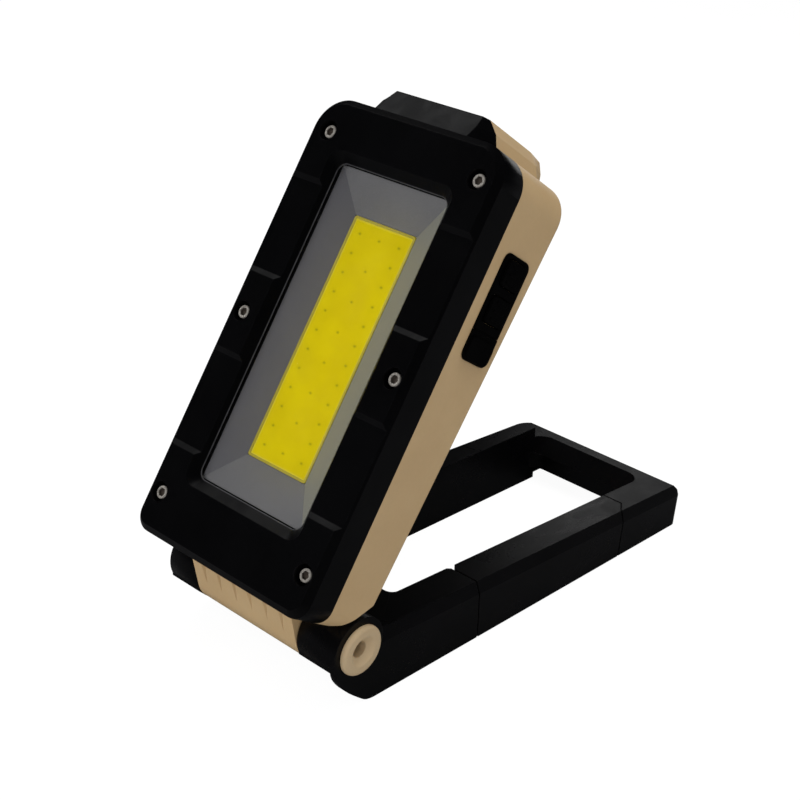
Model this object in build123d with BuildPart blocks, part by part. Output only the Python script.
from build123d import *
import os
from math import sin, cos, radians

# Foldable hand-held work light: a flat lamp head on a friction hinge, and a loop-shaped
# stand with a sprung snap gate in its right arm. Millimetres, +Z up, the stand flat on Z = 0.
# X runs along the hinge, right is +X, +Y runs back along the stand. The origin is the
# centre of the footprint, on the floor.

# ---- overall ----
HEAD_ANGLE = 59.6        # head face line above the stand, as it stands
HINGE_Y = -73.735        # hinge axis, in front of the footprint centre
HINGE_Z = 20.4           # hinge axis above the underside
HALF_W = 35.4            # half the width of head and stand

# ---- head, in its own lines: v up the face, n out of the face, both 0 at the lower screws
AXIS_V, AXIS_N = -15.8, -31.9         # hinge axis
V_LOW, V_HIGH = -12.3, 127.0          # ends of the head
R_LOW, R_HIGH = 5.5, 10.5             # outline corner radii
BEZEL_D = 12.2                        # depth of the black front shell
CHAMFER = 2.0
BACK_N0, BACK_SLOPE = -30.5, -0.049   # back face: n = BACK_N0 + BACK_SLOPE * v
WALL = 2.0
BACK_R = 1.2                          # rounding of the back edges
WIN_X, WIN_V0, WIN_V1 = 23.5, 6.0, 112.0      # window at the front face
WIN_MID_V = (WIN_V0 + WIN_V1) / 2
SEAT_X, SEAT_V0, SEAT_V1 = 20.8, 9.0, 109.0   # window at the lens
LENS_N, LENS_T = -3.0, 1.0
LENS_BACK_N = LENS_N - LENS_T
LENS_FORM = (22.6, 7.0, 111.0, 3.0)           # half width, low v, high v, corner radius
LENS_REBATE = (24.0, 5.6, 112.4, 3.5)         # same columns
COB_X, COB_V0, COB_V1 = 11.07, 21.65, 96.07   # lit area
COB_MID_V = (COB_V0 + COB_V1) / 2
BOARD_N, BOARD_T = -8.4, 1.4                  # face and thickness of the lamp board
SINK_N, SINK_T = BOARD_N - BOARD_T, 2.0       # front and thickness of the heat sink plate
SINK_BACK_N = SINK_N - SINK_T
CONTROL_N, CONTROL_T = -20.4, 1.6             # front and thickness of the control board
CONTROL_BACK_N = CONTROL_N - CONTROL_T

# ---- end torch, in the raised block on top of the head
TORCH_N = -23.0
TORCH_R = 8.5
TORCH_LENS_V = 132.0
TORCH_BOARD_V, TORCH_BOARD_T = 121.5, 1.4

# ---- switch strip on the right flank
STRIP_N0, STRIP_N1 = -30.3, -17.0
STRIP_MID_N = (STRIP_N0 + STRIP_N1) / 2
STRIP_V0, STRIP_V1 = 71.0, 103.2
STRIP_R = 2.5
STRIP_SPLIT = 80.0                    # joint between port cover and boot
STRIP_FLOOR_X = 34.2
MODE_V, TORCH_KEY_V = 86.8, 97.8      # centres of the two keys
KEYS = [(MODE_V, STRIP_MID_N), (TORCH_KEY_V, STRIP_MID_N)]
PORT = (75.5, STRIP_MID_N)            # centre of the charging socket

# ---- hinge
LUG_R, LUG_X = 9.9, 22.5              # barrel radius, and its end on the left
LUG_XR = 20.0                         # its end on the right, where the eye is thicker
LUG_SOCKET_R, LUG_FLOOR_X = 4.0, 17.5     # blind sockets in the barrel ends
EYE_R = 10.0
ARM_X = 22.9                          # inner face of the stand arms
ARM_XR = 20.4                         # inner face of the right eye
SPIGOT_R, EYE_BORE_R = 6.0, 6.05
CAP_R, CAP_X0, CAP_X1 = 7.9, 35.45, 37.3

# ---- stand, y and z counted from the hinge axis
FLOOR = -HINGE_Z
TOP_Z0, TOP_SLOPE = 2.4, -0.0395      # top face: z = TOP_Z0 + TOP_SLOPE * y
STAND_END = 172.2
BRIDGE_FRONT, BRIDGE_BACK = 9.3, 27.0
LOOP_END = 157.5
END_R_LEFT, END_R_RIGHT = 11.0, 3.6
END_UNDER = -15.3
PIVOT = (27.5, 63.9)                  # gate pin, x and y
PIVOT_R = 1.0
GATE_GAP = 0.3

# ---- cutters reach past everything they cut
CUT_X, CUT_V, CUT_END_V = 200, 400, 100
CUT_BACK, CUT_FRONT = 60, 40
FLANK_REACH = 40
STRIP_CUT = 40

# ---- datum planes and axes
HEAD_SIN, HEAD_COS = sin(radians(HEAD_ANGLE)), cos(radians(HEAD_ANGLE))


def head_dir(v, n):
    """Direction with components v up the face and n out of it."""
    return Vector(0, v * HEAD_COS - n * HEAD_SIN, v * HEAD_SIN + n * HEAD_COS)


HINGE_POINT = Vector(0, HINGE_Y, HINGE_Z)
HEAD_ORIGIN = HINGE_POINT - head_dir(AXIS_V, AXIS_N)
ALONG_X = (1, 0, 0)
FACE = Plane(origin=HEAD_ORIGIN, x_dir=ALONG_X, z_dir=head_dir(0, 1))          # (x, v), normal n
FLANK = Plane(origin=HEAD_ORIGIN, x_dir=head_dir(1, 0), z_dir=ALONG_X)         # (v, n), normal x
CROSS = Plane(origin=HEAD_ORIGIN, x_dir=ALONG_X, z_dir=head_dir(-1, 0))        # (x, n), normal -v
N_AXIS = Axis(origin=HEAD_ORIGIN, direction=head_dir(0, 1))
V_AXIS = Axis(origin=HEAD_ORIGIN, direction=head_dir(1, 0))
DOWN_FACE = V_AXIS.direction * -1
INTO_HEAD = N_AXIS.direction * -1
BED = Plane(origin=HINGE_POINT, x_dir=ALONG_X, z_dir=(0, 0, 1))                # (x, y)
SIDE = Plane(origin=HINGE_POINT, x_dir=(0, 1, 0), z_dir=ALONG_X)               # (y, z)
HINGE_CUT = Plane(origin=HINGE_POINT, x_dir=ALONG_X, z_dir=(0, -1, 0))         # (x, z)
HINGE = Axis(origin=HINGE_POINT, direction=ALONG_X)
BELOW, THROUGH = BED.offset(-30), 60      # under the whole stand, and the height through it

os.makedirs("parts", exist_ok=True)


# ---- helpers ----
def save(part, name):
    part.label = name
    export_step(part, f"parts/{name}.step")


def head_back(v):
    """n of the tapered back face."""
    return BACK_N0 + BACK_SLOPE * v


def stand_top(y):
    """z of the sloping top of the stand."""
    return TOP_Z0 + TOP_SLOPE * y


def at(x, v, n):
    """A point of the head in the part's frame."""
    return FACE.from_local_coords(Vector(x, v, n))


def mirrored(*places):
    """Each (x, v) place on the left and on the right."""
    return [(side * x, v) for x, v in places for side in (-1, 1)]


def rounded(half_x, y0, y1, r_low, r_high):
    """Upright rectangle, its lower corners rounded r_low and its upper corners r_high."""
    with BuildSketch() as outline:
        Polygon((-half_x, y0), (half_x, y0), (half_x, y1), (-half_x, y1), align=None)
        fillet(outline.vertices().group_by(Axis.Y)[0], r_low)
        fillet(outline.vertices().group_by(Axis.Y)[-1], r_high)
    return outline.sketch


def head_outline(inset=0.0):
    """Outline of the head, drawn in by inset."""
    return rounded(HALF_W - inset, V_LOW + inset, V_HIGH - inset, R_LOW - inset, R_HIGH - inset)


def block(x0, x1, y0, y1, radius):
    """Rounded rectangle between two corners."""
    with BuildSketch() as outline:
        with Locations(((x0 + x1) / 2, (y0 + y1) / 2)):
            RectangleRounded(x1 - x0, y1 - y0, radius)
    return outline.sketch


def panel(half_x, v0, v1, radius, inset=0.0):
    """Rounded rectangle centred in x, drawn in by inset."""
    return block(inset - half_x, half_x - inset, v0 + inset, v1 - inset, radius - inset)


def socket_screws(seat, places, head_r, head_h, shank_r, shank_l, hex_r, hex_depth, edge_r=0):
    """Pan-head screws with a hexagon socket; seat is the plane under the heads."""
    with BuildPart() as screws:
        with BuildSketch(seat):
            with Locations(*places):
                Circle(head_r)
        extrude(amount=head_h)
        if edge_r:
            fillet(screws.faces().group_by(SortBy.AREA)[-1].edges().group_by(N_AXIS)[-1], edge_r)
        with BuildSketch(seat):
            with Locations(*places):
                Circle(shank_r)
        extrude(amount=-shank_l)
        with BuildSketch(seat.offset(head_h)):
            with Locations(*places):
                RegularPolygon(hex_r, 6)
        extrude(amount=-hex_depth, mode=Mode.SUBTRACT)
    return screws.part


# ==== Outer form of the head, before it is parted ====
FORM_D = 42
with BuildPart() as head_form:
    with BuildSketch(FACE):
        add(head_outline())
    extrude(amount=-FORM_D)
    # tapered back
    with BuildSketch(FLANK.offset(-FLANK_REACH)):
        Polygon((-30, head_back(-30)), (150, head_back(150)), (150, -70), (-30, -70), align=None)
    extrude(amount=2 * FLANK_REACH, mode=Mode.SUBTRACT)
    fillet(head_form.faces().sort_by(N_AXIS)[0].edges(), BACK_R)
    chamfer(head_form.faces().sort_by(N_AXIS)[-1].edges(), CHAMFER)

# Raised block on the top end: black in front of CROWN_PART_N, housing colour behind it
CROWN_PART_N = -9.0
CROWN_SIDE_N0, CROWN_SIDE_N1 = -8.9, -33.0    # front and back end of the straight sides
CROWN_BACK_N = -42.6
CROWN_STATIONS = [   # v, half width at the front, n of the front, half widths at side and back
    (125.5, 17.0, -1.73, 24.6, 19.2),
    (131.2, 17.0, -5.0, 21.4, 17.4),
    (134.7, 16.2, -7.0, 17.5, 15.2),
]
with BuildPart() as crown:
    for v, front_x, front_n, side_x, back_x in CROWN_STATIONS:
        with BuildSketch(CROSS.offset(-v)):
            Polygon((-front_x, front_n), (front_x, front_n),
                    (side_x, CROWN_SIDE_N0), (side_x, CROWN_SIDE_N1),
                    (back_x, CROWN_BACK_N), (-back_x, CROWN_BACK_N),
                    (-side_x, CROWN_SIDE_N1), (-side_x, CROWN_SIDE_N0), align=None)
    loft(ruled=True)
    fillet(crown.faces().sort_by(V_AXIS)[-1].edges(), 0.6)

# ==== Front bezel: black front shell with the window, rail pockets and screw seats ====
SCREWS = mirrored((28.2, 116.2), (30, 58), (30, 0))
SCREW_SEAT_N, SCREW_SEAT_R, SCREW_HOLE_R = -2.6, 3.1, 1.4
POST_R, POST_N = 3.45, -3.5                   # screw posts and their front end
RAIL_POCKETS = [(14.3, 46.0), (70.0, 102.0)]  # low v, high v
RAIL_X, RAIL_W = (-36.0, 22.0), 14.0          # left side of each rail's cutter, its width
POCKET_D, POCKET_RUN = 1.3, 1.6

with BuildPart() as front_bezel:
    add(head_form.part)
    with BuildSketch(FACE.offset(-BEZEL_D)):
        Rectangle(CUT_X, CUT_V)
    extrude(amount=-CUT_BACK, mode=Mode.SUBTRACT)
    add(crown.part)
    with BuildSketch(FACE.offset(CROWN_PART_N)):
        with Locations((0, V_HIGH + CUT_END_V / 2)):
            Rectangle(CUT_X, CUT_END_V)
    extrude(amount=-CUT_BACK, mode=Mode.SUBTRACT)
    with BuildSketch(FACE.offset(-BEZEL_D)):
        Rectangle(CUT_X, CUT_V)
    extrude(amount=-CUT_BACK, mode=Mode.SUBTRACT)
    # hollow behind the front plate
    with BuildSketch(FACE.offset(LENS_BACK_N)):
        add(head_outline(WALL))
    extrude(amount=-20, mode=Mode.SUBTRACT)
    # screw posts
    with BuildSketch(FACE.offset(POST_N)):
        with Locations(*SCREWS):
            Circle(POST_R)
    extrude(amount=-BEZEL_D - POST_N)
    # window with sloping sides, and the lens rebate behind it
    with BuildSketch(FACE):
        add(panel(WIN_X, WIN_V0, WIN_V1, 4.0))
    with BuildSketch(FACE.offset(LENS_N)):
        add(panel(SEAT_X, SEAT_V0, SEAT_V1, 3.0))
    loft(mode=Mode.SUBTRACT)
    with BuildSketch(FACE.offset(LENS_N)):
        add(panel(*LENS_REBATE))
    extrude(amount=-LENS_T - 0.01, mode=Mode.SUBTRACT)
    # shallow pockets across both rails
    for v0, v1 in RAIL_POCKETS:
        for x0 in RAIL_X:
            with BuildSketch(FLANK.offset(x0)):
                Polygon((v0, 0), (v0 + POCKET_RUN, -POCKET_D), (v1 - POCKET_RUN, -POCKET_D),
                        (v1, 0), (v1, 2), (v0, 2), align=None)
            extrude(amount=RAIL_W, mode=Mode.SUBTRACT)
    # screw seats and clearance holes
    for radius, depth in ((SCREW_SEAT_R, -SCREW_SEAT_N), (SCREW_HOLE_R, 20)):
        with BuildSketch(FACE):
            with Locations(*SCREWS):
                Circle(radius)
        extrude(amount=-depth, mode=Mode.SUBTRACT)

save(front_bezel.part, "front_bezel")

save(socket_screws(FACE.offset(SCREW_SEAT_N), SCREWS, head_r=2.0, head_h=1.5, shank_r=1.25,
                   shank_l=20.0, hex_r=1.35, hex_depth=1.0, edge_r=0.35), "bezel_screws")

# ==== Lens, its gasket, reflector ====
GASKET_GAP = 0.1     # to the rebate outside it and to the lens inside it

with BuildPart() as lens:
    with BuildSketch(FACE.offset(LENS_N)):
        add(panel(*LENS_FORM))
    extrude(amount=-LENS_T)

save(lens.part, "lens")

with BuildPart() as lens_gasket:
    with BuildSketch(FACE.offset(LENS_N)):
        add(panel(*LENS_REBATE, inset=GASKET_GAP))
        add(panel(*LENS_FORM, inset=-GASKET_GAP), mode=Mode.SUBTRACT)
    extrude(amount=-LENS_T)

save(lens_gasket.part, "lens_gasket")

FLANGE_T = 0.9
FUNNEL_X, FUNNEL_V = 45.0, 103.4     # outer funnel at the flange
FUNNEL_RIM, FUNNEL_MOUTH = 1.8, 0.8  # outer and inner funnel beyond the lit area
FUNNEL_FLOOR_N = -7.9

with BuildPart() as reflector:
    # outer funnel
    with BuildSketch(FACE.offset(LENS_BACK_N - FLANGE_T)):
        with Locations((0, WIN_MID_V)):
            Rectangle(FUNNEL_X, FUNNEL_V)
    with BuildSketch(FACE.offset(BOARD_N)):
        with Locations((0, COB_MID_V)):
            Rectangle(2 * (COB_X + FUNNEL_RIM), COB_V1 - COB_V0 + 2 * FUNNEL_RIM)
    loft(ruled=True)
    # flange under the lens
    with BuildSketch(FACE.offset(LENS_BACK_N)):
        add(panel(25.5, 4.2, 113.8, 4.0))
    extrude(amount=-FLANGE_T)
    # inner funnel: four flat mitred walls from the window down to the lit area
    with BuildSketch(FACE.offset(LENS_BACK_N)):
        with Locations((0, (SEAT_V0 + SEAT_V1) / 2)):
            Rectangle(2 * SEAT_X, SEAT_V1 - SEAT_V0)
    with BuildSketch(FACE.offset(FUNNEL_FLOOR_N)):
        with Locations((0, COB_MID_V)):
            Rectangle(2 * (COB_X + FUNNEL_MOUTH), COB_V1 - COB_V0 + 2 * FUNNEL_MOUTH)
    loft(ruled=True, mode=Mode.SUBTRACT)
    with BuildSketch(FACE.offset(FUNNEL_FLOOR_N + 0.1)):
        with Locations((0, COB_MID_V)):
            Rectangle(2 * (COB_X + FUNNEL_MOUTH), COB_V1 - COB_V0 + 2 * FUNNEL_MOUTH)
    extrude(amount=-2.0, mode=Mode.SUBTRACT)

save(reflector.part, "reflector")

# ==== Lamp board: aluminium-core board, silicone dam, phosphor, screws, heat sink ====
LED_SCREWS = mirrored((8, 14.0), (8, 104.0))
BOARD_HOLE_R, SINK_HOLE_R = 1.1, 1.0
DAM_W, DAM_H = 0.7, 0.6
PHOSPHOR_T, PHOSPHOR_R = 0.5, 0.4
FIN_PITCH, FIN_COUNT = 6.0, 15
FIN_X, FIN_T, FIN_H = 36.0, 1.3, 3.0

with BuildPart() as cob_board:
    with BuildSketch(FACE.offset(BOARD_N)):
        add(panel(16.5, 11.5, 106.5, 1.5))
        with Locations(*LED_SCREWS):
            Circle(BOARD_HOLE_R, mode=Mode.SUBTRACT)
    extrude(amount=-BOARD_T)

save(cob_board.part, "cob_board")

with BuildPart() as cob_dam:
    with BuildSketch(FACE.offset(BOARD_N)):
        add(panel(COB_X + DAM_W, COB_V0 - DAM_W, COB_V1 + DAM_W, 0.8))
        add(panel(COB_X, COB_V0, COB_V1, PHOSPHOR_R), mode=Mode.SUBTRACT)
    extrude(amount=DAM_H)

save(cob_dam.part, "cob_dam")

with BuildPart() as cob_phosphor:
    with BuildSketch(FACE.offset(BOARD_N)):
        add(panel(COB_X, COB_V0, COB_V1, PHOSPHOR_R))
    extrude(amount=PHOSPHOR_T)

save(cob_phosphor.part, "cob_phosphor")

save(socket_screws(FACE.offset(BOARD_N), LED_SCREWS, head_r=1.6, head_h=0.8, shank_r=0.95,
                   shank_l=3.2, hex_r=0.8, hex_depth=0.5), "led_board_screws")

with BuildPart() as heat_sink:
    with BuildSketch(FACE.offset(SINK_N)):
        add(panel(24.5, 12.4, 106.5, 1.5))
        with Locations(*LED_SCREWS):
            Circle(SINK_HOLE_R, mode=Mode.SUBTRACT)
    extrude(amount=-SINK_T)
    # cross fins, rooted 0.1 in the plate
    with BuildSketch(FACE.offset(SINK_BACK_N + 0.1)):
        with Locations((0, WIN_MID_V)):
            with GridLocations(0, FIN_PITCH, 1, FIN_COUNT):
                Rectangle(FIN_X, FIN_T)
    extrude(amount=-FIN_H)

save(heat_sink.part, "heat_sink")

# ==== Rear housing: tapered rear shell, crown, hinge barrel with grip grooves, posts, ribs ====
BOARD_POSTS = mirrored((14.5, 7.5), (14.5, 36.5))
BOARD_POST_BORE_R, BOARD_POST_BORE_D = 0.85, 6.0
SCREW_POSTS = [(28.2, 116.2, -35.2), (30, 58, -32.3), (30, 0, -27.9)]   # x, v, n of back end
SCREW_BORE_R, SCREW_BORE_D = 1.3, 11.5
INNER_POSTS = [      # n of front end, radius, x, v, length
    # pillars that press the lamp stack against the lens
    (SINK_BACK_N - 0.05, 1.9, 22, 16.0, 18.45), (SINK_BACK_N - 0.05, 1.9, 22, 100.0, 22.55),
    # control board posts
    (CONTROL_BACK_N, 2.2, 14.5, 7.5, 7.9), (CONTROL_BACK_N, 2.2, 14.5, 36.5, 9.3),
]
RIB_N, RIB_T = -20.0, 1.4
RIBS = [             # x, v, width, depth: two at the battery, two at the switch board
    (-4.0, 44.6, 26.0, 11.7), (-6.0, 109.7, 26.0, 14.9),
    (29.4, 67.2, 8.4, 12.8), (29.4, 107.0, 8.4, 14.7),
]
FOOT_STEP = [(14.0, -31.0), (16.0, -32.5), (30, -50)]    # (v, n), shared by the foot cuts
MAGNET_V, MAGNET_R, MAGNET_T = 22.0, 11.0, 3.0
MAGNET_FACE = Plane(origin=at(0, MAGNET_V, head_back(MAGNET_V)), x_dir=ALONG_X,
                    z_dir=head_dir(BACK_SLOPE, -1))
GROOVE_COUNT, GROOVE_PITCH, GROOVE_MID_X, GROOVE_L = 6, 6.6, -1.2, 13.5
GROOVE_DIR = head_dir(-1.0995, -0.8895)
TORCH = Plane(origin=at(0, 0, TORCH_N), x_dir=ALONG_X, z_dir=head_dir(1, 0))  # normal +v
TORCH_STEPS = [      # v of the start, radius, length, mode
    (119.5, TORCH_R + 1.4, 8.0, Mode.ADD),                # tube
    (121.4, TORCH_R, 20.0, Mode.SUBTRACT),                # bore
    (119.0, TORCH_R - 2.0, 4.0, Mode.SUBTRACT),           # opening in the tube floor
    (TORCH_LENS_V, TORCH_R + 0.8, 4.0, Mode.SUBTRACT),    # lens seat
]

with BuildPart() as cavity:
    with BuildSketch(FACE.offset(-10)):
        add(head_outline(WALL))
    extrude(amount=-32)
    with BuildSketch(FLANK.offset(-FLANK_REACH)):
        Polygon((V_LOW + WALL, -9), (V_LOW + WALL, -16.0), (-8.4, -20.5), (-1.0, -28.4),
                (0.8, head_back(0.8) + WALL), (130, head_back(130) + WALL), (130, -9),
                align=None)
    extrude(amount=2 * FLANK_REACH, mode=Mode.INTERSECT)

with BuildPart() as rear_housing:
    add(head_form.part)
    with BuildSketch(FACE.offset(-BEZEL_D)):
        Rectangle(CUT_X, CUT_V)
    extrude(amount=CUT_FRONT, mode=Mode.SUBTRACT)
    # crown behind the black nose
    add(crown.part)
    with BuildSketch(FACE.offset(CROWN_PART_N)):
        with Locations((0, 150.0)):
            Rectangle(CUT_X, CUT_END_V)
    extrude(amount=CUT_FRONT, mode=Mode.SUBTRACT)
    with BuildSketch(FACE.offset(-BEZEL_D)):
        with Locations((0, V_HIGH + 0.1 - CUT_V / 2)):
            Rectangle(CUT_X, CUT_V)
    extrude(amount=CUT_FRONT, mode=Mode.SUBTRACT)
    # lower corners cut back so the stand's eyes can pass
    for x0, reach in ((LUG_XR, 20), (-LUG_X, -20)):
        with BuildSketch(FLANK.offset(x0)):
            Polygon((-30, -16.3), (V_LOW, -16.3), (-10.5, -21.0), (-2.5, -29.6), *FOOT_STEP,
                    (-30, -50), align=None)
        extrude(amount=reach, mode=Mode.SUBTRACT)
    # shallow step between them, over the stand's bridge when the head is folded down
    with BuildSketch(FLANK.offset(-LUG_X)):
        Polygon((-5.0, -29.8), *FOOT_STEP, (-5.0, -50), align=None)
    extrude(amount=LUG_X + LUG_XR, mode=Mode.SUBTRACT)
    add(cavity.part, mode=Mode.SUBTRACT)
    # hinge barrel and its web, full width between the stand's eyes
    with BuildSketch(FLANK.offset(-LUG_X)):
        with Locations((AXIS_V, AXIS_N)):
            Circle(LUG_R)
        Polygon((V_LOW, -14.1), (AXIS_V - 7.0, AXIS_N + 7.0), (AXIS_V, AXIS_N), (-7.4, -29.36),
                (-4.0, -29.0), (-9.0, -20.5), (V_LOW + WALL, -16.0), (V_LOW + WALL, -14.1),
                align=None)
    extrude(amount=LUG_X + LUG_XR)
    # V grip grooves down the chin, deepest at the head and fading out on the barrel
    for i in range(GROOVE_COUNT):
        groove_x = (i - (GROOVE_COUNT - 1) / 2) * GROOVE_PITCH + GROOVE_MID_X
        with BuildSketch(Plane(origin=at(groove_x, V_LOW + 0.3, -13.8), x_dir=ALONG_X,
                               z_dir=GROOVE_DIR)):
            Polygon((-2.4, 0.9), (2.4, 0.9), (0.0, -1.5), align=None)
        extrude(amount=GROOVE_L, mode=Mode.SUBTRACT)
    # hinge screw sockets in both barrel ends, and the bore between them
    for x0, depth in ((LUG_XR, LUG_FLOOR_X - LUG_XR), (-LUG_X, LUG_X - LUG_FLOOR_X)):
        with BuildSketch(FLANK.offset(x0)):
            with Locations((AXIS_V, AXIS_N)):
                Circle(LUG_SOCKET_R)
        extrude(amount=depth, mode=Mode.SUBTRACT)
    with BuildSketch(FLANK.offset(-LUG_X)):
        with Locations((AXIS_V, AXIS_N)):
            Circle(1.3)
    extrude(amount=2 * LUG_X, mode=Mode.SUBTRACT)
    # bezel screw posts
    for x, v, end_n in SCREW_POSTS:
        with BuildSketch(FACE.offset(-BEZEL_D)):
            with Locations(*mirrored((x, v))):
                Circle(POST_R)
        extrude(amount=end_n + BEZEL_D)
    with BuildSketch(FACE.offset(-BEZEL_D)):
        with Locations(*SCREWS):
            Circle(SCREW_BORE_R)
    extrude(amount=-SCREW_BORE_D, mode=Mode.SUBTRACT)
    # pillars and control board posts
    for start_n, radius, x, v, length in INNER_POSTS:
        with BuildSketch(FACE.offset(start_n)):
            with Locations(*mirrored((x, v))):
                Circle(radius)
        extrude(amount=-length)
    with BuildSketch(FACE.offset(CONTROL_BACK_N)):
        with Locations(*BOARD_POSTS):
            Circle(BOARD_POST_BORE_R)
    extrude(amount=-BOARD_POST_BORE_D, mode=Mode.SUBTRACT)
    # battery ribs and switch board ribs, down into the back wall
    for x, v, width, depth in RIBS:
        with BuildSketch(FACE.offset(RIB_N)):
            with Locations((x, v)):
                Rectangle(width, RIB_T)
        extrude(amount=-depth)
    # magnet cup and pocket
    with BuildSketch(MAGNET_FACE.offset(-1.0)):
        Circle(MAGNET_R + 1.8)
    extrude(amount=-MAGNET_T - 0.4)
    with BuildSketch(MAGNET_FACE):
        Circle(MAGNET_R + 0.1)
    extrude(amount=-MAGNET_T - 0.05, mode=Mode.SUBTRACT)
    # torch tube, bore and lens seat
    for v, radius, length, mode in TORCH_STEPS:
        with BuildSketch(TORCH.offset(v)):
            Circle(radius)
        extrude(amount=length, mode=mode)
    # switch strip recess and the openings behind it
    with BuildSketch(FLANK.offset(STRIP_FLOOR_X)):
        add(block(STRIP_V0 - 0.05, STRIP_V1 + 0.05, STRIP_N0 - 0.05, STRIP_N1 + 0.05, STRIP_R))
    extrude(amount=4.0, mode=Mode.SUBTRACT)
    with BuildSketch(FLANK.offset(30.0)):
        with Locations(*KEYS):
            Circle(2.75)
        with Locations(PORT):
            RectangleRounded(6.4, 10.4, 1.2)
    extrude(amount=4.6, mode=Mode.SUBTRACT)

save(rear_housing.part, "rear_housing")

# Seal across the joint of the two shells, just inside their walls
SEAL_HALF_H = 0.9
with BuildPart() as housing_seal:
    with BuildSketch(FACE.offset(-BEZEL_D + SEAL_HALF_H)):
        add(head_outline(WALL + 0.1))
        add(head_outline(WALL + 1.0), mode=Mode.SUBTRACT)
        with Locations(*SCREWS):
            Circle(3.6, mode=Mode.SUBTRACT)
    extrude(amount=-2 * SEAL_HALF_H)

save(housing_seal.part, "housing_seal")

# ==== Battery and electronics ====
CELL_N, CELL_T = -17.8, 11.0
CELL_X0, CELL_X1, CELL_V0, CELL_V1 = -18.0, 16.0, 46.0, 108.0
PAD_INSET, PAD_T = 4.0, 2.0

with BuildPart() as battery_cell:
    with BuildSketch(FACE.offset(CELL_N)):
        add(block(CELL_X0, CELL_X1, CELL_V0, CELL_V1, 3.0))
    extrude(amount=-CELL_T)
    fillet(battery_cell.faces().group_by(N_AXIS)[0].edges(), 2.0)
    fillet(battery_cell.faces().group_by(N_AXIS)[-1].edges(), 2.0)

save(battery_cell.part, "battery_cell")

with BuildPart() as battery_pad:
    with BuildSketch(FACE.offset(CELL_N - CELL_T)):
        add(block(CELL_X0 + PAD_INSET, CELL_X1 - PAD_INSET,
                  CELL_V0 + PAD_INSET, CELL_V1 - PAD_INSET, 2.0))
    extrude(amount=-PAD_T)

save(battery_pad.part, "battery_pad")

with BuildPart() as control_board:
    with BuildSketch(FACE.offset(CONTROL_N)):
        add(panel(17.5, 4.5, 39.5, 1.5))
        with Locations(*BOARD_POSTS):
            Circle(1.1, mode=Mode.SUBTRACT)
    extrude(amount=-CONTROL_T)

save(control_board.part, "control_board")

save(socket_screws(FACE.offset(CONTROL_N), BOARD_POSTS, head_r=1.8, head_h=1.2, shank_r=0.8,
                   shank_l=6.5, hex_r=0.9, hex_depth=0.7), "control_board_screws")

INDUCTOR_SIDE, INDUCTOR_H = 7.0, 3.6
with BuildPart() as power_inductor:
    with BuildSketch(FACE.offset(CONTROL_N)):
        with Locations((-5.0, 16.0)):
            RectangleRounded(INDUCTOR_SIDE, INDUCTOR_SIDE, 1.4)
    extrude(amount=INDUCTOR_H)
    chamfer(power_inductor.faces().group_by(N_AXIS)[-1].edges(), 0.5)

save(power_inductor.part, "power_inductor")

CHIPS = [(5.0, 17.0), (5.0, 27.0), (-6.0, 27.0)]    # x, v
with BuildPart() as control_chips:
    with BuildSketch(FACE.offset(CONTROL_N)):
        with Locations(*CHIPS):
            Rectangle(5.0, 4.0)
    extrude(amount=1.5)

save(control_chips.part, "control_chips")

# Two connectors, each with a shallow mouth in its upper end
CONNECTOR_X, CONNECTOR_V = 7.0, 35.5
CONNECTOR_W, CONNECTOR_L, CONNECTOR_H = 8.0, 5.6, 4.0
with BuildPart() as wire_connectors:
    with BuildSketch(FACE.offset(CONTROL_N)):
        with Locations(*mirrored((CONNECTOR_X, CONNECTOR_V))):
            Rectangle(CONNECTOR_W, CONNECTOR_L)
    extrude(amount=CONNECTOR_H)
    with BuildSketch(CROSS.offset(-CONNECTOR_V - CONNECTOR_L / 2)):
        with Locations(*mirrored((CONNECTOR_X, -18.3))):
            Rectangle(6.4, 2.4)
    extrude(amount=1.0, mode=Mode.SUBTRACT)

save(wire_connectors.part, "wire_connectors")

# Small side board with the two push switches and the charging socket
SIDE_BOARD_X, SIDE_BOARD_T = 26.0, 1.2
MOUNT_X = SIDE_BOARD_X + SIDE_BOARD_T         # outer face of the side board
SWITCH_H = 2.3

with BuildPart() as switch_board:
    with BuildSketch(FLANK.offset(SIDE_BOARD_X)):
        add(block(68.1, 106.1, -28.6, -15.0, 0.8))
    extrude(amount=SIDE_BOARD_T)

save(switch_board.part, "switch_board")

with BuildPart() as tact_switches:
    with BuildSketch(FLANK.offset(MOUNT_X)):
        with Locations(*KEYS):
            RectangleRounded(6.0, 6.0, 0.5)
    extrude(amount=SWITCH_H)
    with BuildSketch(FLANK.offset(MOUNT_X + SWITCH_H)):
        with Locations(*KEYS):
            Circle(1.7)
    extrude(amount=1.1)

save(tact_switches.part, "tact_switches")

PORT_V, PORT_N, PORT_R = 3.2, 8.94, 1.5       # outside of the socket shell
PORT_WALL = 0.3
with BuildPart() as usb_c_socket:
    # shell
    with BuildSketch(FLANK.offset(MOUNT_X)):
        with Locations(PORT):
            RectangleRounded(PORT_V, PORT_N, PORT_R)
            RectangleRounded(PORT_V - 2 * PORT_WALL, PORT_N - 2 * PORT_WALL, 1.25,
                             mode=Mode.SUBTRACT)
    extrude(amount=5.7)
    # closed inner end
    with BuildSketch(FLANK.offset(MOUNT_X)):
        with Locations(PORT):
            RectangleRounded(PORT_V, PORT_N, PORT_R)
    extrude(amount=1.2)
    # contact tongue
    with BuildSketch(FLANK.offset(MOUNT_X + 1.0)):
        with Locations(PORT):
            Rectangle(0.7, 6.7)
    extrude(amount=4.0)

save(usb_c_socket.part, "usb_c_socket")

# ==== Side controls: rubber boot, two push keys, hinged port cover ====
KEY_V, KEY_N = 8.0, 10.0                      # size of a key pad
KEY_GAP = 0.25
PAD_X, PAD_H = 34.85, 1.95                    # underside and height of a key pad

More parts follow.
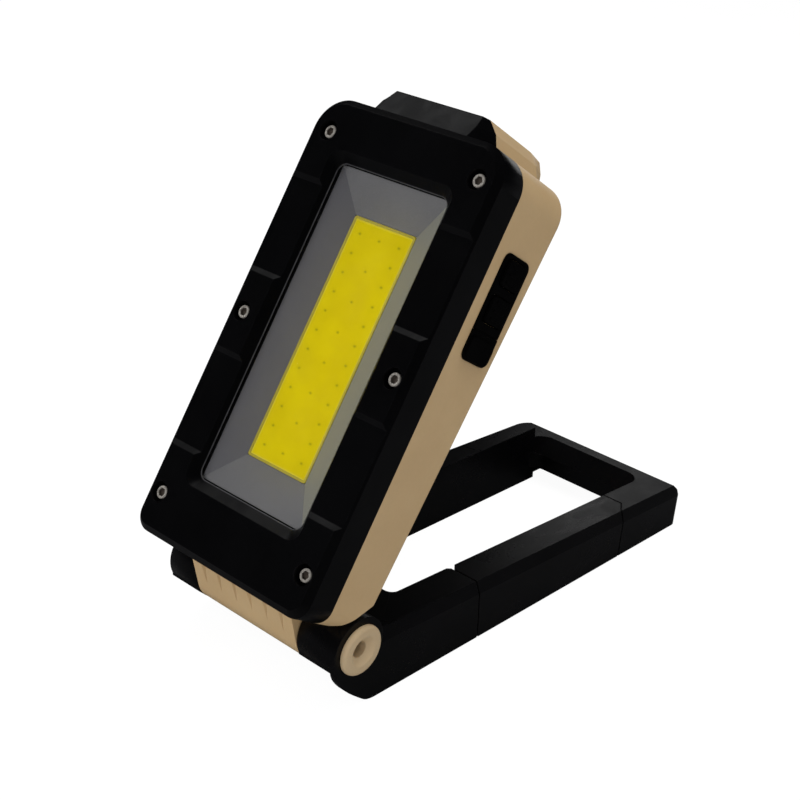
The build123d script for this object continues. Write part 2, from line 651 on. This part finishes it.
with BuildPart() as switch_boot:
    with BuildSketch(FLANK.offset(STRIP_FLOOR_X)):
        add(block(STRIP_V0, STRIP_V1, STRIP_N0, STRIP_N1, STRIP_R))
    extrude(amount=1.9)
    fillet(switch_boot.faces().sort_by(Axis.X)[-1].edges(), 0.5)
    # everything below the split belongs to the port cover
    with BuildSketch(FLANK.offset(STRIP_FLOOR_X - 1)):
        with Locations((STRIP_SPLIT + 0.1 - STRIP_CUT / 2, STRIP_MID_N)):
            Rectangle(STRIP_CUT, STRIP_CUT)
    extrude(amount=6, mode=Mode.SUBTRACT)
    with BuildSketch(FLANK.offset(STRIP_FLOOR_X - 1)):
        with Locations(*KEYS):
            RectangleRounded(KEY_V + 2 * KEY_GAP, KEY_N + 2 * KEY_GAP, 1.6)
    extrude(amount=6, mode=Mode.SUBTRACT)

save(switch_boot.part, "switch_boot")


def push_key(v):
    """A push key centred at v: rounded pad, stem and retaining flange."""
    centre = (v, STRIP_MID_N)
    with BuildPart() as push:
        with BuildSketch(FLANK.offset(PAD_X)):
            with Locations(centre):
                RectangleRounded(KEY_V, KEY_N, 1.4)
        extrude(amount=PAD_H)
        fillet(push.faces().sort_by(Axis.X)[-1].edges(), 0.6)
        # stem, then flange: start x, radius, length
        for start_x, radius, length in ((31.5, 2.5, 3.5), (32.4, 3.5, 0.8)):
            with BuildSketch(FLANK.offset(start_x)):
                with Locations(centre):
                    Circle(radius)
            extrude(amount=length)
        # raised ribs on the pad
        with BuildSketch(FLANK.offset(PAD_X + PAD_H - 0.1)):
            with Locations(centre):
                with GridLocations(2.4, 0, 3, 1):
                    SlotOverall(5.0, 0.8, rotation=90)
        extrude(amount=0.3)
    return push.part


save(push_key(MODE_V), "mode_button")
save(push_key(TORCH_KEY_V), "torch_button")

FLAP_X, FLAP_T = 34.3, 1.7
FLAP_END_V = STRIP_SPLIT - 0.2
BEAD_X, BEAD_V, BEAD_R, BEAD_INSET = 36.0, 79.7, 0.3, 0.6
with BuildPart() as usb_flap:
    with BuildSketch(FLANK.offset(FLAP_X)):
        add(block(STRIP_V0, STRIP_V0 + 20, STRIP_N0, STRIP_N1, STRIP_R))
    extrude(amount=FLAP_T)
    # raised outer pad
    with BuildSketch(FLANK.offset(FLAP_X + FLAP_T - 0.1)):
        add(block(STRIP_V0 + 0.2, STRIP_SPLIT - 1.6, STRIP_N0 + 0.4, STRIP_N1 - 0.4, 2.2))
    extrude(amount=0.7)
    with BuildSketch(FLANK.offset(33.0)):
        with Locations((FLAP_END_V + STRIP_CUT / 2, STRIP_MID_N)):
            Rectangle(STRIP_CUT, STRIP_CUT)
    extrude(amount=6, mode=Mode.SUBTRACT)
    fillet(usb_flap.faces().sort_by(Axis.X)[-1].edges(), 0.45)
    # plug on the inner side
    with BuildSketch(FLANK.offset(33.4)):
        with Locations((75.4, STRIP_MID_N)):
            RectangleRounded(3.6, 8.6, 1.0)
    extrude(amount=1.0)
    # hinge bead along the fixed end
    with BuildSketch(Plane(origin=at(BEAD_X, BEAD_V, STRIP_N0 + BEAD_INSET), x_dir=ALONG_X,
                           z_dir=head_dir(0, 1))):
        Circle(BEAD_R)
    extrude(amount=STRIP_N1 - STRIP_N0 - 2 * BEAD_INSET)

save(usb_flap.part, "usb_flap")

# ==== End torch: lens, reflector cup, emitter board, emitter ====
with BuildPart() as torch_lens:
    with BuildSketch(TORCH.offset(TORCH_LENS_V)):
        Circle(TORCH_R + 0.7)
    extrude(amount=2.4)
    fillet(torch_lens.faces().sort_by(V_AXIS)[-1].edges(), 0.4)

save(torch_lens.part, "torch_lens")

# Cup profile, (radius, v): inner curve upwards, rim, outer curve downwards
TORCH_SIDE = Plane(origin=at(0, 0, TORCH_N), x_dir=ALONG_X, z_dir=head_dir(0, 1))   # (x, v)
CUP_INNER = [(2.5, 123.2), (4.6, 125.6), (6.3, 128.6), (7.3, 131.9)]
CUP_RIM = [(8.4, 131.9), (8.4, 131.0)]
CUP_OUTER = [(7.9, 131.0), (7.1, 128.2), (5.4, 125.2), (3.6, 123.2)]
with BuildPart() as torch_reflector:
    with BuildSketch(TORCH_SIDE):
        with BuildLine():
            Spline(*CUP_INNER)
            Line(CUP_INNER[-1], CUP_RIM[0])
            Line(CUP_RIM[0], CUP_RIM[1])
            Line(CUP_RIM[1], CUP_OUTER[0])
            Spline(*CUP_OUTER)
            Line(CUP_OUTER[-1], CUP_INNER[0])
        make_face()
    revolve(axis=Axis(origin=at(0, 0, TORCH_N), direction=head_dir(1, 0)))

save(torch_reflector.part, "torch_reflector")

with BuildPart() as torch_led_board:
    with BuildSketch(TORCH.offset(TORCH_BOARD_V)):
        Circle(TORCH_R - 0.2)
    extrude(amount=TORCH_BOARD_T)

save(torch_led_board.part, "torch_led_board")

EMITTER_V, EMITTER_BASE_H = TORCH_BOARD_V + TORCH_BOARD_T, 0.6
with BuildPart() as torch_emitter:
    with BuildSketch(TORCH.offset(EMITTER_V)):
        RectangleRounded(3.4, 3.4, 0.3)
    extrude(amount=EMITTER_BASE_H)
    with BuildSketch(TORCH.offset(EMITTER_V + EMITTER_BASE_H)):
        Circle(1.4)
    extrude(amount=0.8)
    fillet(torch_emitter.faces().sort_by(V_AXIS)[-1].edges(), 0.6)

save(torch_emitter.part, "torch_emitter")

# ==== Back magnet, a hair proud of the tapered back ====
MAGNET_PROUD = 0.1
with BuildPart() as back_magnet:
    with BuildSketch(MAGNET_FACE.offset(MAGNET_PROUD)):
        Circle(MAGNET_R)
    extrude(amount=-MAGNET_T - MAGNET_PROUD)
    chamfer(back_magnet.faces().filter_by(GeomType.PLANE).edges(), 0.3)

save(back_magnet.part, "back_magnet")

# ==== Wiring: two pairs of round leads, and one thicker lead to the end torch ====
# Lead paths, each point (x, v, n)
BATTERY_PATH = [(-7, 45.9, -19.1), (-8.2, 42.4, -17.6), (-7, 38.4, -18.4)]
LED_PATH = [(2, 11.4, -9.1), (2, 7.6, -12.5), (2, 8.4, -20.3)]
TORCH_PATH = [(2, 121.4, TORCH_N), (2, 114.5, TORCH_N), (18.2, 111.5, -17.2),
              (18.2, 44.0, -17.2), (7, 41.5, -18.4), (7, 38.4, -18.4)]
LEAD_R, TORCH_LEAD_R = 0.6, 0.8
LEAD_SPREAD = 1.1         # each lead of a pair from the middle of the pair


def lead_pair(path, end_direction):
    """Two parallel leads that set out down the face and arrive along end_direction."""
    with BuildPart() as leads:
        for dx in (-LEAD_SPREAD, LEAD_SPREAD):
            points = [at(x + dx, v, n) for x, v, n in path]
            with BuildLine():
                Spline(*points, tangents=(DOWN_FACE, end_direction))
            with BuildSketch(Plane(origin=points[0], z_dir=DOWN_FACE)):
                Circle(LEAD_R)
            sweep()
    return leads.part


save(lead_pair(BATTERY_PATH, DOWN_FACE), "battery_leads")
save(lead_pair(LED_PATH, INTO_HEAD), "led_leads")

with BuildPart() as torch_leads:
    with BuildLine():
        Polyline(*[at(*point) for point in TORCH_PATH])
    with BuildSketch(Plane(origin=at(*TORCH_PATH[0]), z_dir=DOWN_FACE)):
        Circle(TORCH_LEAD_R)
    sweep(transition=Transition.ROUND)

save(torch_leads.part, "torch_leads")

# ==== Hinge: stepped caps that the stand's eyes turn on, screws, washers ====
CAP_END_X = LUG_FLOOR_X + 0.1                 # inner end, just off the socket floor
CAP_NECK_R = LUG_SOCKET_R - 0.05
CAP_BORE_R, CAP_WELL_R, CAP_SEAT_X = 1.35, 2.6, 27.0   # screw bore, head well and its floor
CAP_MOUTH_R, CAP_MOUTH_D = 4.7, 1.7           # funnel at the outer face


def hinge_cap(shoulder):
    """A right-hand cap whose spigot ends at the barrel face, shoulder from the centre."""
    with BuildPart() as stepped:
        with BuildSketch(HINGE_CUT) as profile:
            with BuildLine():
                Polyline((CAP_END_X, CAP_BORE_R), (CAP_END_X, CAP_NECK_R),
                         (shoulder, CAP_NECK_R), (shoulder, SPIGOT_R),
                         (CAP_X0, SPIGOT_R), (CAP_X0, CAP_R), (CAP_X1, CAP_R),
                         (CAP_X1, CAP_MOUTH_R), (CAP_X1 - CAP_MOUTH_D, CAP_WELL_R),
                         (CAP_SEAT_X, CAP_WELL_R), (CAP_SEAT_X, CAP_BORE_R),
                         (CAP_END_X, CAP_BORE_R))
            make_face()
            fillet(profile.vertices().sort_by_distance((CAP_X1, CAP_R))[0], 1.3)
            fillet(profile.vertices().sort_by_distance((CAP_X1, CAP_MOUTH_R))[0], 1.0)
            fillet(profile.vertices().sort_by_distance((CAP_X0, CAP_R))[0], 0.3)
        revolve(axis=HINGE)
    return stepped.part


def washers(starts, outer_r, bore_r, thickness):
    """Flat rings round the hinge axis, each from its start x towards +X."""
    with BuildPart() as rings:
        for x0 in starts:
            with BuildSketch(SIDE.offset(x0)):
                Circle(outer_r)
                Circle(bore_r, mode=Mode.SUBTRACT)
            extrude(amount=thickness)
    return rings.part


save(hinge_cap(LUG_XR), "hinge_cap_right")

with BuildPart() as hinge_cap_left:
    add(hinge_cap(LUG_X).mirror(Plane.YZ))

save(hinge_cap_left.part, "hinge_cap_left")

hinge_screw = socket_screws(SIDE.offset(CAP_SEAT_X + 0.05), [(0, 0)], head_r=2.15, head_h=1.8,
                            shank_r=1.25, shank_l=20.0, hex_r=1.1, hex_depth=1.1)
with BuildPart() as hinge_screws:
    add(hinge_screw)
    add(hinge_screw.mirror(Plane.YZ))

save(hinge_screws.part, "hinge_screws")

save(washers((LUG_XR + 0.05, -ARM_X + 0.05), outer_r=8.6, bore_r=SPIGOT_R + 0.1,
             thickness=0.3), "friction_washers")
save(washers((34.65, -35.25), outer_r=7.4, bore_r=SPIGOT_R + 0.15, thickness=0.6),
     "spring_washers")

# ==== Stand: arms with eyes, bridge behind the barrel, loop end; right arm cut for the gate ====
BEVEL_Y, BEVEL_Z = 162.8, -9.6        # top edge and foot of the bevel inside the loop end
FOOT_CURVE = [(-8.9, -4.56), (-6.9, -9.6), (-2.3, -14.4), (2.7, -18.3), (8.7, FLOOR)]  # y, z
CREST_Y = 9.65                        # front end of the sloping top
OPENING_R = 3.0                       # corners of the loop opening at the bridge
BARREL_ROOM_Y0 = -20.0
BRIDGE_UNDER, BRIDGE_CUT_H = -17.5, 15.0      # raised underside of the bridge
DRAFT_Y, DRAFT_X = 32.0, 1.9          # start of the drafted wall, and its lean at the floor

with BuildPart() as end_bevel:
    with BuildSketch(SIDE.offset(-ARM_X)):
        Polygon((BEVEL_Y, 5), (BEVEL_Y, stand_top(BEVEL_Y)), (LOOP_END - 0.1, BEVEL_Z),
                (150, BEVEL_Z), (150, 5), align=None)
    extrude(amount=2 * ARM_X)
    with BuildSketch(BELOW):
        add(rounded(ARM_X, BRIDGE_BACK, BEVEL_Y, OPENING_R, 6.0))
    extrude(amount=THROUGH, mode=Mode.INTERSECT)

with BuildPart() as stand_form:
    # side outline: curved foot, flat underside, sloping top
    with BuildSketch(SIDE.offset(-HALF_W)):
        with BuildLine():
            Spline(*FOOT_CURVE, tangents=((0.05, -1), (1, -0.05)))
            Polyline(FOOT_CURVE[-1], (STAND_END, FLOOR), (STAND_END, stand_top(STAND_END)),
                     (CREST_Y, stand_top(CREST_Y)), (0, 0), FOOT_CURVE[0])
        make_face()
    extrude(amount=2 * HALF_W)
    # plan outline, rounded at the loop end
    with BuildSketch(BELOW) as plan:
        Polygon((-HALF_W, -40), (HALF_W, -40), (HALF_W, STAND_END), (-HALF_W, STAND_END),
                align=None)
        fillet(plan.vertices().sort_by_distance((-HALF_W, STAND_END))[0], END_R_LEFT)
        fillet(plan.vertices().sort_by_distance((HALF_W, STAND_END))[0], END_R_RIGHT)
    extrude(amount=THROUGH, mode=Mode.INTERSECT)
    # steep bevel round the top rim
    upward = stand_form.faces().filter_by(lambda face: face.normal_at().Z > 0.9)
    top_face = upward.sort_by(SortBy.AREA)[-1]
    chamfer([edge for edge in top_face.edges() if edge.center().Y > HINGE_Y + 12], 4.1, 1.4)
    # heel cut back to the eyes, all but the right outer cheek
    with BuildSketch(SIDE.offset(-HALF_W - 1)):
        Polygon((-12.0, -2.81), (8.5, FLOOR), (8.5, -30.0), (-12.0, -30.0), align=None)
    extrude(amount=HALF_W + 1 + 33.0, mode=Mode.SUBTRACT)
    # eyes
    with BuildSketch(SIDE.offset(-HALF_W)):
        Circle(EYE_R)
    extrude(amount=2 * HALF_W)
    # sloping end face
    with BuildSketch(SIDE.offset(-40)):
        Polygon((STAND_END, -8.5), (167.6, stand_top(167.6)), (167.4, 5), (180, 5), (180, -8.5),
                align=None)
    extrude(amount=80, mode=Mode.SUBTRACT)
    # opening of the loop
    with BuildSketch(BELOW):
        add(rounded(ARM_X, BRIDGE_BACK, LOOP_END, OPENING_R, 6.5))
    extrude(amount=THROUGH, mode=Mode.SUBTRACT)
    # room for the hinge barrel between the eyes
    with BuildSketch(SIDE.offset(-ARM_X)):
        with Locations(((BARREL_ROOM_Y0 + BRIDGE_FRONT) / 2, 0)):
            Rectangle(BRIDGE_FRONT - BARREL_ROOM_Y0, 60)
        Circle(LUG_R + 0.6)
    extrude(amount=ARM_X + ARM_XR, mode=Mode.SUBTRACT)
    # underside of the bridge
    with BuildSketch(SIDE.offset(-ARM_X)):
        with Locations(((BRIDGE_FRONT + BRIDGE_BACK) / 2, BRIDGE_UNDER - BRIDGE_CUT_H / 2)):
            Rectangle(BRIDGE_BACK - BRIDGE_FRONT, BRIDGE_CUT_H)
    extrude(amount=2 * ARM_X, mode=Mode.SUBTRACT)
    # end bar: raised underside and a bevel down to the inner wall
    with BuildSketch(SIDE.offset(-23.5)):
        with Locations((165.0, END_UNDER - 10)):
            Rectangle(30.0, 20.0)
    extrude(amount=47.0, mode=Mode.SUBTRACT)
    add(end_bevel.part, mode=Mode.SUBTRACT)
    # draft on the inner wall of the left arm
    with BuildSketch(HINGE_CUT.offset(-DRAFT_Y)):
        Polygon((-ARM_X - 0.5, 0.0), (-ARM_X, 0.0), (-ARM_X + DRAFT_X, FLOOR),
                (-ARM_X - 0.5, FLOOR), align=None)
    extrude(amount=-(LOOP_END - DRAFT_Y + 0.5))

# ---- gate: front seam leans in the side view, rear seam is stepped in plan
SEAM_TOP, SEAM_FOOT = (53.6, 6), (56.4, -21)      # y, z
SEAM = Plane(origin=HINGE_POINT + Vector(0, *SEAM_TOP), x_dir=ALONG_X,
             z_dir=(0, SEAM_TOP[0] - SEAM_FOOT[0], SEAM_TOP[1] - SEAM_FOOT[1]))
REAR_SEAM_OUT, REAR_SEAM_IN = 134.0, 138.9        # y at the outer and the inner side
TONGUE_X0, TONGUE_X1, TONGUE_Y0 = 23.2, 31.9, 50
TONGUE_Z, TONGUE_H = -13.5, 9.0
SPRING_CUP_R, SPRING_CUP_D = 3.3, 4.2
EYE_SEAT_X, EYE_SEAT_R = 34.4, 7.6                # seats for the spring washers


def gate_zone(gap):
    """The right arm between its two seams, gap clear of each seam."""
    out_y, in_y = REAR_SEAM_OUT - gap, REAR_SEAM_IN - gap
    with BuildPart() as zone:
        with BuildSketch(BELOW):
            Polygon((21, 40), (37, 40), (37, out_y), (33.7, out_y), (30.5, in_y), (21, in_y),
                    align=None)
        extrude(amount=THROUGH)
        with BuildSketch(SIDE):
            Polygon((SEAM_TOP[0] + gap, SEAM_TOP[1]), (SEAM_FOOT[0] + gap, SEAM_FOOT[1]),
                    (200, SEAM_FOOT[1]), (200, SEAM_TOP[1]), align=None)
        extrude(amount=50, mode=Mode.INTERSECT)
    return zone.part


with BuildPart() as stand_frame:
    add(stand_form.part)
    add(gate_zone(-GATE_GAP), mode=Mode.SUBTRACT)
    # small relief at the inner corner of the front seam
    with BuildSketch(SEAM):
        Polygon((21.5, 0), (24.0, -GATE_GAP + 0.1), (22.8, -1.6), (21.5, -1.6), align=None)
    extrude(amount=-30, mode=Mode.SUBTRACT)
    # tongue that carries the gate pin
    with BuildSketch(BED.offset(TONGUE_Z)):
        with Locations(((TONGUE_X0 + TONGUE_X1) / 2, (TONGUE_Y0 + PIVOT[1]) / 2)):
            Rectangle(TONGUE_X1 - TONGUE_X0, PIVOT[1] - TONGUE_Y0)
        with Locations(PIVOT):
            Circle(4.4)
    extrude(amount=TONGUE_H)
    with BuildSketch(BELOW):
        with Locations(PIVOT):
            Circle(PIVOT_R)
    extrude(amount=THROUGH, mode=Mode.SUBTRACT)
    # spring cup in the tongue
    with BuildSketch(BED.offset(TONGUE_Z + TONGUE_H)):
        with Locations(PIVOT):
            Circle(SPRING_CUP_R)
    extrude(amount=-SPRING_CUP_D, mode=Mode.SUBTRACT)
    # running bores in the eyes, with seats for the spring washers
    with BuildSketch(SIDE.offset(-50)):
        Circle(EYE_BORE_R)
    extrude(amount=100, mode=Mode.SUBTRACT)
    for side in (1, -1):
        with BuildSketch(SIDE.offset(side * EYE_SEAT_X)):
            Circle(EYE_SEAT_R)
        extrude(amount=side * 5, mode=Mode.SUBTRACT)

save(stand_frame.part, "stand_frame")

with BuildPart() as gate:
    add(stand_form.part)
    add(gate_zone(GATE_GAP), mode=Mode.INTERSECT)
    # inner corner relieved so it can swing past the seam
    with BuildSketch(SEAM):
        Polygon((21.5, -1), (26.0 + GATE_GAP, -1), (22.0 + GATE_GAP, 3.0), (21.5, 3.0),
                align=None)
    extrude(amount=-30, mode=Mode.SUBTRACT)
    # slot for the tongue
    with BuildSketch(BED.offset(TONGUE_Z - GATE_GAP)):
        with Locations((26.15, 57.0)):
            Rectangle(12.3, 13.8)
        with Locations(PIVOT):
            Circle(4.8)
        with Locations((24.5, 60.0)):
            Rectangle(6.0, 12.4)
    extrude(amount=TONGUE_H + 2 * GATE_GAP, mode=Mode.SUBTRACT)
    # blind pin bore, from below
    with BuildSketch(BELOW):
        with Locations(PIVOT):
            Circle(PIVOT_R + 0.05)
    extrude(amount=27.4, mode=Mode.SUBTRACT)

save(gate.part, "gate")

PIN_Z, PIN_L = -19.8, 16.9
with BuildPart() as gate_pin:
    with BuildSketch(BED.offset(PIN_Z)):
        with Locations(PIVOT):
            Circle(PIVOT_R)
    extrude(amount=PIN_L)
    chamfer(gate_pin.edges().filter_by(GeomType.CIRCLE), 0.2)

save(gate_pin.part, "gate_pin")

SPRING_Z, SPRING_R, SPRING_H, SPRING_PITCH, SPRING_WIRE_R = -8.3, 2.3, 3.2, 0.85, 0.3
with BuildPart() as gate_spring:
    with BuildLine() as coil:
        Helix(pitch=SPRING_PITCH, height=SPRING_H, radius=SPRING_R,
              center=(PIVOT[0], HINGE_Y + PIVOT[1], HINGE_Z + SPRING_Z))
    with BuildSketch(Plane(origin=coil.line @ 0, z_dir=coil.line % 0)):
        Circle(SPRING_WIRE_R)
    sweep(is_frenet=True)

save(gate_spring.part, "gate_spring")
